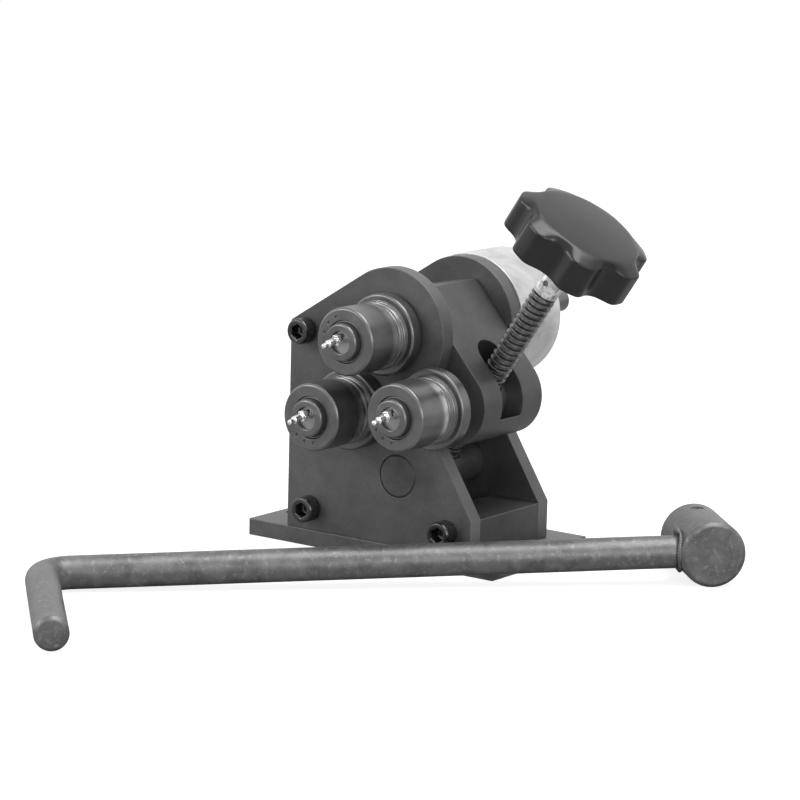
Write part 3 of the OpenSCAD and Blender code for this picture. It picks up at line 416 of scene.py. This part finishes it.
def turned_steel(name, x, z, tone, roughness=0.3, metallic=0.85, marks=2200, wear_and_highlight=0.5, bare_and_highlight=0.6):
    """Turned steel, with the fine rings of the tool running round its axis along Y."""
    finish, tree, shader, place = start_finish(name, metallic)
    feed = add_node(tree, "ShaderNodeMath", operation="ADD")
    for index, distance in enumerate(from_axis(tree, place, x, z)):
        wire(tree, distance, feed.inputs[index])
    rings = add_node(tree, "ShaderNodeTexNoise", noise_dimensions="1D", Scale=marks, Detail=3)
    wire(tree, feed.outputs[0], rings.inputs["W"])
    cloud = mottle(tree, place, Scale=60, Detail=5, Roughness=0.6)
    both = add_share(tree, rings.outputs["Fac"], 0.45, cloud)
    colour = shade_by(tree, both, tone, 0.45, (0.75, 0.75, 0.76), 1.0, (1.3, 1.3, 1.3))
    # The edges are painted paler, as rubbed wear and as a painted highlight.
    edged = rub_and_highlight_edges(tree, place, colour, bare_and_highlight, 0.45 * mm, wear_and_highlight, ragged=0.03)
    wire(tree, edged, shader.inputs["Base Color"])
    wire(tree, spread(tree, cloud, roughness - 0.06, roughness + 0.12), shader.inputs["Roughness"])
    lift_skin(tree, shader, rings.outputs["Fac"], 0.35, 0.03 * mm)
    return finish


def joint_called(name):
    return next(found for found in frame["joints"] if found["name"] == name)


left_axis = Vector(joint_called("left_roller_spin")["pos_m"])
top_axis = Vector(joint_called("roller_drive")["pos_m"])
right_axis = Vector(joint_called("right_roller_spin")["pos_m"])
for axle, axis in (("left_axle", left_axis), ("right_axle", right_axis), ("right_sleeve", right_axis)):
    dress(axle, turned_steel(axle + "_bright", axis.x, axis.z, 0.34), 0.3 * mm)


# Bushes and thrust washer: cast bronze, the bushes reamed and pressed in, all lightly oiled. Only thin end
# faces and the washer's rim show.
def bronze(name):
    finish, tree, shader, place = start_finish(name, 0.9)
    shader.inputs["Base Color"].default_value = (0.2771, 0.2, 0.1043, 1)
    cloud = mottle(tree, place, Scale=140, Detail=5)
    wire(tree, spread(tree, cloud, 0.28, 0.5), shader.inputs["Roughness"])
    return finish


bush_bronze = bronze("bush_bronze")
for bush in (
    "left_roller_bushes",
    "right_roller_bushes",
    "left_thrust_washer",
    "front_shaft_bush",
    "rear_shaft_bush",
    "arm_bush",
    "input_bush",
):
    dress(bush, bush_bronze, 0.2 * mm)

# Rollers: turned from tool steel, hardened and blackened. Each has a plain body, two grooves for wire and a
# rear flange, and three dots drilled in its face. A bright band where the body meets the grooves is a painted
# highlight, and the body is made smoother there.
body_r = 20.75 * mm
groove_from = 26.7 * mm
ring_wide, ring_fade, ring_stop = 6 * mm, 3.5 * mm, 0.3 * mm
band_highlight_colour, ring_roughness = (0.55, 0.55, 0.55), 0.26


def polished_highlight_band(finish, axis, y_from, y_to):
    """Paints a highlight band on a roller's body from y_from to y_to, and makes it smoother there."""
    tree = finish.node_tree
    shader = tree.nodes["Principled BSDF"]
    place = add_node(tree, "ShaderNodeTexCoord").outputs["Object"]
    radius, along = from_axis(tree, place, axis.x, axis.z)
    smear = mottle(tree, place, Scale=130, Detail=4, Roughness=0.6)
    share = spread(tree, along, 0, 1, y_from, y_from + ring_fade)
    for limit in (
        spread(tree, along, 0, 1, y_to, y_to - ring_stop),
        spread(tree, radius, 0, 1, body_r - 0.4 * mm, body_r - 0.2 * mm),
        spread(tree, smear, 0.5, 1, 0.35, 0.6),
    ):
        both = add_node(tree, "ShaderNodeMath", operation="MULTIPLY")
        wire(tree, share, both.inputs[0])
        wire(tree, limit, both.inputs[1])
        share = both.outputs[0]
    colour = shader.inputs["Base Color"].links[0].from_socket
    wire(tree, lay_over(tree, share, colour, band_highlight_colour), shader.inputs["Base Color"])
    smoother = add_node(tree, "ShaderNodeMix", data_type="FLOAT")
    smoother.inputs[3].default_value = ring_roughness
    wire(tree, share, smoother.inputs[0])
    wire(tree, shader.inputs["Roughness"].links[0].from_socket, smoother.inputs[2])
    wire(tree, smoother.outputs[0], shader.inputs["Roughness"])


for side, axis in (("left", left_axis), ("top", top_axis), ("right", right_axis)):
    roller_black = turned_steel(side + "_roller_black", axis.x, axis.z, 0.165, metallic=0.8, bare_and_highlight=0.55)
    grooves_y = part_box(side + "_roller")[0].y + groove_from
    polished_highlight_band(roller_black, axis, grooves_y - ring_wide, grooves_y)
    dress(side + "_roller", roller_black, 0.45 * mm)
    dress(side + "_ring_nut", roller_black, 0.4 * mm)

# Dust rings: pressed from steel strip and blackened, one pushed into the recess in each roller's face. They
# turn with the rollers and clear the ring nuts by a hair, so that swarf stays out of the bushes.
dust_around = 96
dust_form = ((11.6, 2.4), (11.6, 0.25), (11.85, 0), (12.65, 0), (12.95, 0.3), (12.95, 2.4))
dust_sunk = 0.8 * mm
for side, axis, body in (
    ("left", left_axis, "left_roll"),
    ("top", top_axis, "drive"),
    ("right", right_axis, "right_roll"),
):
    dust_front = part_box(side + "_roller")[0].y + dust_sunk
    dust_mesh = bmesh.new()
    dust_rows = []
    for r, behind in dust_form:
        row = []
        for k in range(dust_around):
            turn = 2 * math.pi * k / dust_around
            x, z = axis.x + r * mm * math.cos(turn), axis.z + r * mm * math.sin(turn)
            row.append(dust_mesh.verts.new((x, dust_front + behind * mm, z)))
        dust_rows.append(row)
    dust_rows.append(dust_rows[0])
    lathe_wall(dust_mesh, dust_rows, dust_around)
    dust_black = turned_steel(side + "_dust_black", axis.x, axis.z, 0.17, roughness=0.34, wear_and_highlight=0.4)
    dust_ring = put_together(dust_mesh, side + "_dust_ring", body, dust_black)

# Grease nipples: turned from hexagon steel and bright zinc plated, leaning a little downwards, screwed into
# the noses of the axles and of the drive shaft. The grease gun's jaws clip over the round collar.
zinc = turned_steel("bright_zinc", 0, 0, 0.82, roughness=0.16, metallic=1.0, marks=900, wear_and_highlight=0.0)
for side in ("left", "top", "right"):
    dress(side + "_grease_nipple", zinc, 0.25 * mm)

# Drive shaft, keys and planet carrier: bright drawn bar, turned and keyed. The shaft runs from the top
# roller through both plates into the reducer, where the carrier and its three pins drive it.
drive_bright = turned_steel("drive_bright", top_axis.x, top_axis.z, 0.36)
for part in ("drive_shaft", "roller_key", "carrier_key", "planet_carrier", "planet_pins"):
    dress(part, drive_bright, 0.3 * mm)

# Swing arm: one thick block of steel bored for the top roller's shaft at one end and for the cross nut at
# the other, with a slot milled through it for the adjusting screw, then blackened.
dress("swing_arm", black_oxide("arm_black", 0.09, patches=26), 0.6 * mm)

# Cross pin: a short bar of blackened steel that turns in both plates, flattened and bored across its middle
# for the foot of the adjusting screw. Its ends are chamfered and lie flush in the plates.
dress("pivot_pin", black_oxide("pin_dark", 0.095, patches=60, wear_and_highlight=0.3), 0.3 * mm)


# Adjusting screw: a rolled trapezoidal thread of 16 mm with a pitch of 4 mm, greasy, its crests and edges
# painted pale as wear and as a painted highlight, a plain journal at its foot and a stud at its head that
# carries the collar and the knob.
def greasy_thread(name):
    finish, tree, shader, place = start_finish(name, 0.85)
    cloud = mottle(tree, place, Scale=240, Detail=5, Roughness=0.7)
    colour = shade_by(tree, cloud, 1, 0.3, (0.07, 0.07, 0.068), 0.72, (0.3, 0.3, 0.295))
    wire(tree, rub_and_highlight_edges(tree, place, colour, 0.6, 0.5 * mm, 0.8), shader.inputs["Base Color"])
    wire(tree, spread(tree, cloud, 0.2, 0.5), shader.inputs["Roughness"])
    return finish


screw_foot = Vector(joint_called("screw_turn")["pos_m"])
screw_along = -Vector(joint_called("screw_turn")["axis"]).normalized()
screw_side = Vector((0, 1, 0))
screw_over = screw_along.cross(screw_side)
thread_r, thread_root, thread_ease = 8 * mm, 5.8 * mm, 0.22 * mm
thread_pitch = 4 * mm
thread_from, thread_to = 11.45 * mm, 139.5 * mm
run_in, run_out = 1.2 * mm, 0.8 * mm
journal_r, journal_end = 5 * mm, -16.95 * mm
stud_r, stud_end = 5 * mm, 178.5 * mm
end_ease = 0.6 * mm
around = 72
# One tooth: the share of the pitch, and the radius there.
thread_form = (
    (0.0, thread_r - thread_ease),
    (0.035, thread_r),
    (0.265, thread_r),
    (0.3, thread_r - thread_ease),
    (0.44, thread_root + 0.12 * mm),
    (0.48, thread_root),
    (0.82, thread_root),
    (0.86, thread_root + 0.12 * mm),
)
screw_mesh = bmesh.new()


def on_screw(across, over, along):
    return screw_foot + screw_side * across + screw_over * over + screw_along * along


def screw_point(r, turn, along):
    return screw_mesh.verts.new(on_screw(r * math.cos(turn), r * math.sin(turn), along))


def screw_ring(r, along):
    return [screw_point(r, 2 * math.pi * k / around, along) for k in range(around)]


thread_rows = []
thread_turns = int((thread_to - thread_from) / thread_pitch) + 2
for turn_number in range(-1, thread_turns):
    for share, r in thread_form:
        row = []
        for k in range(around):
            along = thread_from + (turn_number + share + k / around) * thread_pitch
            kept = min(max(along, thread_from), thread_to)
            taper = min(1.0, (kept - thread_from) / run_in, (thread_to - kept) / run_out)
            row.append(screw_point(thread_root + (r - thread_root) * taper, 2 * math.pi * k / around, kept))
        thread_rows.append(row)
for below, above in zip(thread_rows, thread_rows[1:]):
    for k in range(around - 1):
        screw_mesh.faces.new((below[k], below[k + 1], above[k + 1], above[k]))
per_turn = len(thread_form)
for index in range(len(thread_rows) - per_turn - 1):
    low, high = thread_rows[index], thread_rows[index + 1]
    far_low, far_high = thread_rows[index + per_turn], thread_rows[index + per_turn + 1]
    screw_mesh.faces.new((low[-1], far_low[0], far_high[0], high[-1]))
journal = [
    screw_ring(journal_r - end_ease, journal_end),
    screw_ring(journal_r, journal_end + end_ease),
    screw_ring(journal_r, thread_from),
    screw_ring(thread_root, thread_from),
]
stud = [
    screw_ring(thread_root, thread_to),
    screw_ring(stud_r, thread_to),
    screw_ring(stud_r, stud_end - end_ease),
    screw_ring(stud_r - end_ease, stud_end),
]
lathe_wall(screw_mesh, journal, around)
lathe_wall(screw_mesh, stud, around)
screw_mesh.faces.new(journal[0][::-1])
screw_mesh.faces.new(stud[-1])
thread_steel = greasy_thread("greasy_thread_steel")
thread_screw = put_together(screw_mesh, "thread_screw", "screw", thread_steel, "adjusting_screw")

# Pins of the adjusting screw: two short drawn pins. One holds the keeper on the screw's foot, the other goes
# through the collar under the knob, and both take the grease of the thread.
for pin in ("keeper_pin", "collar_pin"):
    dress(pin, thread_steel, 0.2 * mm)


# Collar under the knob: a bright turned ring pinned through the screw's stud. Its surface is stained and
# polished unevenly, so it reflects the room in dark and bright patches.
def stained_bright(name):
    finish, tree, shader, place = start_finish(name, 1)
    stain = mottle(tree, place, Scale=170, Detail=6, Roughness=0.68, Distortion=1.2)
    colour = shade_by(tree, stain, 1, 0.4, (0.4, 0.4, 0.4), 0.62, (0.95, 0.95, 0.94))
    wire(tree, colour, shader.inputs["Base Color"])
    wire(tree, spread(tree, stain, 0.12, 0.42), shader.inputs["Roughness"])
    lift_skin(tree, shader, stain, 0.4, 0.25 * mm)
    return finish


dress("knob_collar", stained_bright("collar_bright"), 0.4 * mm)


# Star knob: black thermoset plastic, moulded in one piece with seven rounded lobes under a low dome, and a
# hub with a blind hole for the screw's stud. Its side stands upright, and its lobes slope down from the dome.
def moulded_black(name):
    finish, tree, shader, place = start_finish(name)
    shader.inputs["IOR"].default_value = 1.46
    cloud = mottle(tree, place, Scale=50, Detail=6, Roughness=0.6)
    fine = mottle(tree, place, Scale=900, Detail=3, Roughness=0.6)
    colour = shade_by(tree, cloud, 1, 0.3, (0.006, 0.006, 0.007), 0.75, (0.014, 0.014, 0.015))
    wire(tree, colour, shader.inputs["Base Color"])
    wire(tree, spread(tree, cloud, 0.22, 0.36), shader.inputs["Roughness"])
    lift_skin(tree, shader, fine, 0.2, 0.05 * mm)
    return finish


knob_foot = 166 * mm
knob_r, wall_h = 43.6 * mm, 20.8 * mm
crown_r, crown_h, knob_h = 34.8 * mm, 25.3 * mm, 27.2 * mm
knob_lobes, knob_turned = 7, math.radians(26.3)
lobe_step = 2 * math.pi / knob_lobes
hollow_r, hollow_out = 12.4 * mm, 48.9 * mm
knob_hub_r, knob_hub_h, knob_hole_h = 12.5 * mm, 9 * mm, 12.7 * mm
lobe_soft, wall_soft, crown_soft, foot_soft = 5.3 * mm, 0.9 * mm, 1.6 * mm, 1.6 * mm
steps_a_lobe = 40
knob_around = steps_a_lobe * knob_lobes
# The rows of points: shares of the way out and millimetres short of the rim on the foot, millimetres up the
# wall, and shares of the way up the slope and of the crown's radius.
foot_shares, foot_short = (0.25, 0.5, 0.75, 0.9), (1, 0.5, 0.15)
wall_rises = (0.2, 0.6, 1.2, 2.4, 5, 8, 12, 16, 19, 20, 20.4, 20.65)
slope_shares = (0, 0.05, 0.12, 0.25, 0.45, 0.65, 0.8, 0.9, 1)
crown_shares = (0.97, 0.93, 0.87, 0.78, 0.66, 0.52, 0.38, 0.22, 0.08)
knob_heart, halvings = 9 * mm, 26


def soft_max(a, b, blend):
    meet = max(blend - abs(a - b), 0) / blend
    return max(a, b) + meet * meet * blend / 4


def outside_lobes(r, turn):
    """How far a point at radius r lies outside the knob's upright side, with turn counted from a hollow."""
    outside = r - knob_r
    for beside in (0, lobe_step):
        away = math.hypot(r * math.cos(turn - beside) - hollow_out, r * math.sin(turn - beside))
        outside = soft_max(outside, hollow_r - away, lobe_soft)
    return outside


def crown_at(r):
    return knob_h - (knob_h - crown_h) * (r / crown_r) ** 2


def halve(low, high, outside):
    """Where outside changes from inside to outside between low and high."""
    for _ in range(halvings):
        middle = (low + high) / 2
        if outside(middle) > 0:
            high = middle
        else:
            low = middle
    return (low + high) / 2


def knob_profile(turn):
    """Radius and height of each row of the knob at one angle, from the hub's foot up to the crown."""
    rim = halve(20 * mm, 46 * mm, lambda r: outside_lobes(r, turn))
    fall = (crown_h - wall_h) / (rim - crown_r)
    lean = math.hypot(1, fall)

    def outside(r, h):
        slope = (h - crown_h + fall * (r - crown_r)) / lean
        above = soft_max(h - crown_at(r), slope, crown_soft)
        return soft_max(soft_max(outside_lobes(r, turn), above, wall_soft), -h, foot_soft)

    aims = [(knob_hub_r + (rim - knob_hub_r) * share, 0) for share in foot_shares]
    aims += [(rim - short * mm, 0) for short in foot_short]
    aims += [(rim, h * mm) for h in wall_rises]
    aims += [(rim + (crown_r - rim) * share, wall_h + (crown_h - wall_h) * share) for share in slope_shares]
    aims += [(crown_r * share, crown_at(crown_r * share)) for share in crown_shares]
    profile = []
    for r, h in aims:
        reach = halve(0.5, 1.4, lambda t: outside(r * t, knob_heart + (h - knob_heart) * t))
        profile.append((r * reach, knob_heart + (h - knob_heart) * reach))
    return profile


lobe_profiles = [knob_profile(lobe_step * k / steps_a_lobe) for k in range(steps_a_lobe)]
knob_mesh = bmesh.new()


def knob_point(x, y, h):
    return knob_mesh.verts.new(on_screw(y, -x, knob_foot + h))


def knob_ring(places):
    made = []
    for k in range(knob_around):
        r, h = places(k % steps_a_lobe)
        turn = knob_turned + lobe_step * k / steps_a_lobe
        made.append(knob_point(r * math.cos(turn), r * math.sin(turn), h))
    return made


def plain_ring(r, h):
    return knob_ring(lambda _: (r, h))


# From the floor of the blind hole over the hub to the knob's underside, and then the lobed rows.
knob_rows = [
    plain_ring(stud_r + 0.05 * mm, knob_hole_h),
    plain_ring(stud_r + 0.05 * mm, 0.4 * mm - knob_hub_h),
    plain_ring(stud_r + 0.45 * mm, -knob_hub_h),
    plain_ring(knob_hub_r - 0.8 * mm, -knob_hub_h),
    plain_ring(knob_hub_r - 0.25 * mm, 0.25 * mm - knob_hub_h),
    plain_ring(knob_hub_r, 0.8 * mm - knob_hub_h),
    plain_ring(knob_hub_r, -1.2 * mm),
    plain_ring(knob_hub_r + 0.35 * mm, -0.35 * mm),
    plain_ring(knob_hub_r + 1.2 * mm, 0),
]
for row in range(len(lobe_profiles[0])):
    knob_rows.append(knob_ring(lambda k: lobe_profiles[k][row]))
lathe_wall(knob_mesh, knob_rows, knob_around)
knob_mesh.faces.new(knob_rows[0][::-1])
knob_peak = knob_point(0, 0, knob_h)
for k in range(knob_around):
    knob_mesh.faces.new((knob_rows[-1][k], knob_rows[-1][(k + 1) % knob_around], knob_peak))
lobed_knob = put_together(knob_mesh, "lobed_knob", "screw", moulded_black("moulded_black"), "star_knob")


# Reducer behind the rear plate: a turned housing and cover in silver paint, four small cap screws, and inside
# a steel ring gear with three planets round the input shaft's pinion.
def silver_paint(name):
    finish, tree, shader, place = start_finish(name, 0.75)
    cloud = mottle(tree, place, Scale=32, Detail=6, Roughness=0.62, Distortion=0.8)
    peel = mottle(tree, place, Scale=1300, Detail=2, Roughness=0.5)
    colour = shade_by(tree, cloud, 1, 0.3, (0.46, 0.46, 0.46), 0.7, (0.8, 0.8, 0.795))
    wire(tree, colour, shader.inputs["Base Color"])
    wire(tree, spread(tree, cloud, 0.36, 0.5), shader.inputs["Roughness"])
    lift_skin(tree, shader, peel, 0.3, 0.06 * mm)
    return finish


cast_silver = silver_paint("cast_silver")
dress("reducer_housing", cast_silver, 0.5 * mm)
dress("reducer_cover", cast_silver, 0.5 * mm)
gear_steel = black_oxide("gear_steel", 0.2, roughness=0.34, metallic=0.8, wear_and_highlight=0.0)
for gear in ("ring_gear", "planet_gear_1", "planet_gear_2", "planet_gear_3"):
    dress(gear, gear_steel)
# The input shaft takes the drive shaft's turned steel made darker, as painted shade.
dress("input_shaft", turned_steel("input_painted_shade", top_axis.x, top_axis.z, 0.16, roughness=0.34))


# Crank: hot-rolled round bar, bent near one end for the grip and welded at the other to a thick turned hub
# with a plain socket. Scale and handling leave it mottled, with pale flecks where it is rubbed.
def rolled_scale(name, tone):
    finish, tree, shader, place = start_finish(name, 0.55)
    cloud = mottle(tree, place, Scale=75, Detail=5, Roughness=0.6, Distortion=0.8)
    fleck = mottle(tree, place, Scale=300, Detail=4, Roughness=0.7)
    colour = shade_by(tree, cloud, tone, 0.34, (0.72, 0.72, 0.73), 0.68, (1.25, 1.25, 1.24))
    pale = (tone * 1.7, tone * 1.7, tone * 1.68)
    flecked = lay_over(tree, spread(tree, fleck, 0, 1, 0.54, 0.72), colour, pale)
    # Its edges are painted paler, as rubbed wear and as a painted highlight.
    wire(tree, rub_and_highlight_edges(tree, place, flecked, 0.42, 0.9 * mm, 0.7), shader.inputs["Base Color"])
    wire(tree, spread(tree, cloud, 0.3, 0.58), shader.inputs["Roughness"])
    lift_skin(tree, shader, fleck, 0.5, 0.16 * mm)
    return finish


crank_scale = rolled_scale("crank_scale", 0.152)
dress("crank_hub", rolled_scale("hub_scale", 0.14), 0.4 * mm)
dress("crank_set_screw", crank_scale)
bar_r, bar_l, grip_l, grip_ease = 10 * mm, 400 * mm, 140 * mm, 2.2 * mm
bend_r, hub_r = 18 * mm, 20 * mm
bar_around, bar_steps, bend_steps, grip_steps = 48, 130, 18, 40
rolled_deep = 0.07 * mm
# The grip's rounded end: the share of its length, and how far the radius has dropped there.
grip_form = ((0.06, 0), (0.3, 0.16), (0.75, 0.62), (0.95, 0.88), (1, 1))
crank_place = Matrix.Translation((192.16 * mm, 33.6 * mm, hub_r))
crank_place @= Matrix.Rotation(math.radians(44.6), 4, "Z")
crank_place @= Matrix.Rotation(-math.asin((hub_r - bar_r) / bar_l), 4, "Y")
to_grip, upward, grip_along = Vector((-1, 0, 0)), Vector((0, 0, 1)), Vector((0, -1, 0))
bar_mesh = bmesh.new()


def at_hub(turn):
    """Where the bar's side meets the round hub, at an angle round the bar."""
    y, z = bar_r * math.cos(turn), bar_r * math.sin(turn)
    return Vector((-math.sqrt(hub_r**2 - z**2), y, z))


def bar_ring(middle, along, r, rolled=rolled_deep):
    """One ring of the bar, its rolled skin a little uneven."""
    beside = along.cross(upward)
    made = []
    for k in range(bar_around):
        turn = 2 * math.pi * k / bar_around
        out = beside * math.cos(turn) + upward * math.sin(turn)
        spot = middle + out * r
        uneven = noise.noise(spot * 38) + 0.5 * noise.noise(spot * 110)
        made.append(bar_mesh.verts.new(crank_place @ (spot - out * rolled * (0.75 - 0.5 * uneven))))
    return made


straight = bar_l - bend_r
mitre = [at_hub(2 * math.pi * k / bar_around) for k in range(bar_around)]
bar_rows = [[bar_mesh.verts.new(crank_place @ spot) for spot in mitre]]
for k in range(1, bar_steps + 1):
    bar_rows.append(bar_ring(Vector((-hub_r - (straight - hub_r) * k / bar_steps, 0, 0)), to_grip, bar_r))
for k in range(1, bend_steps + 1):
    turn = math.pi / 2 + math.pi / 2 * k / bend_steps
    middle = Vector((-straight + bend_r * math.cos(turn), -bend_r + bend_r * math.sin(turn), 0))
    bar_rows.append(bar_ring(middle, Vector((-math.sin(turn), math.cos(turn), 0)), bar_r))
for k in range(1, grip_steps + 1):
    reach = -bend_r - (grip_l - grip_ease - bend_r) * k / grip_steps
    bar_rows.append(bar_ring(Vector((-bar_l, reach, 0)), grip_along, bar_r))
for share, drop in grip_form:
    middle = Vector((-bar_l, -grip_l + grip_ease * (1 - share), 0))
    bar_rows.append(bar_ring(middle, grip_along, bar_r - grip_ease * drop))
bar_rows.append(bar_ring(Vector((-bar_l, -grip_l, 0)), grip_along, bar_r / 2, 0))
lathe_wall(bar_mesh, bar_rows, bar_around)
bar_mesh.faces.new(bar_rows[0][::-1])
bar_mesh.faces.new(bar_rows[-1])
rolled_bar = put_together(bar_mesh, "rolled_crank_bar", "crank", crank_scale, "crank_bar")

# Weld round the crank bar where it meets the hub: one hand-laid bead, rippled as it was laid, lumpy where it
# was started and stopped at the top, and left as it cooled.
bead_along, bead_round = 260, 20
bead_thick, bead_lump, bead_ripple = 1.7, 0.45, 0.12
bead_ripples, ripple_stray = 44, 2.2
bead_start, start_wide, start_thick = 1.3, 0.22, 2.2
bead_out = 0.25 * mm
bead_mesh = bmesh.new()
bead_rows = []
for j in range(bead_along):
    turn = 2 * math.pi * j / bead_along
    corner = at_hub(turn)
    from_hub = Vector((corner.x, 0, corner.z)).normalized()
    from_bar = Vector((0, math.cos(turn), math.sin(turn)))
    lump = noise.noise(corner * 210)
    ripple = math.sin(bead_ripples * turn + ripple_stray * noise.noise(corner * 90))
    start = math.exp(-(((turn - bead_start) / start_wide) ** 2))
    thick = (bead_thick + bead_lump * lump + bead_ripple * ripple + start_thick * start) * mm
    row = []
    for k in range(bead_round):
        lean = 2 * math.pi * k / bead_round
        out = from_hub * math.cos(lean) + from_bar * math.sin(lean)
        spot = corner + (from_hub + from_bar) * bead_out + out * thick
        row.append(bead_mesh.verts.new(crank_place @ spot))
    bead_rows.append(row)
bead_rows.append(bead_rows[0])
lathe_wall(bead_mesh, bead_rows, bead_round)
weld_bead = put_together(bead_mesh, "weld_bead", "crank", rolled_scale("weld_scale", 0.14), "crank_weld")
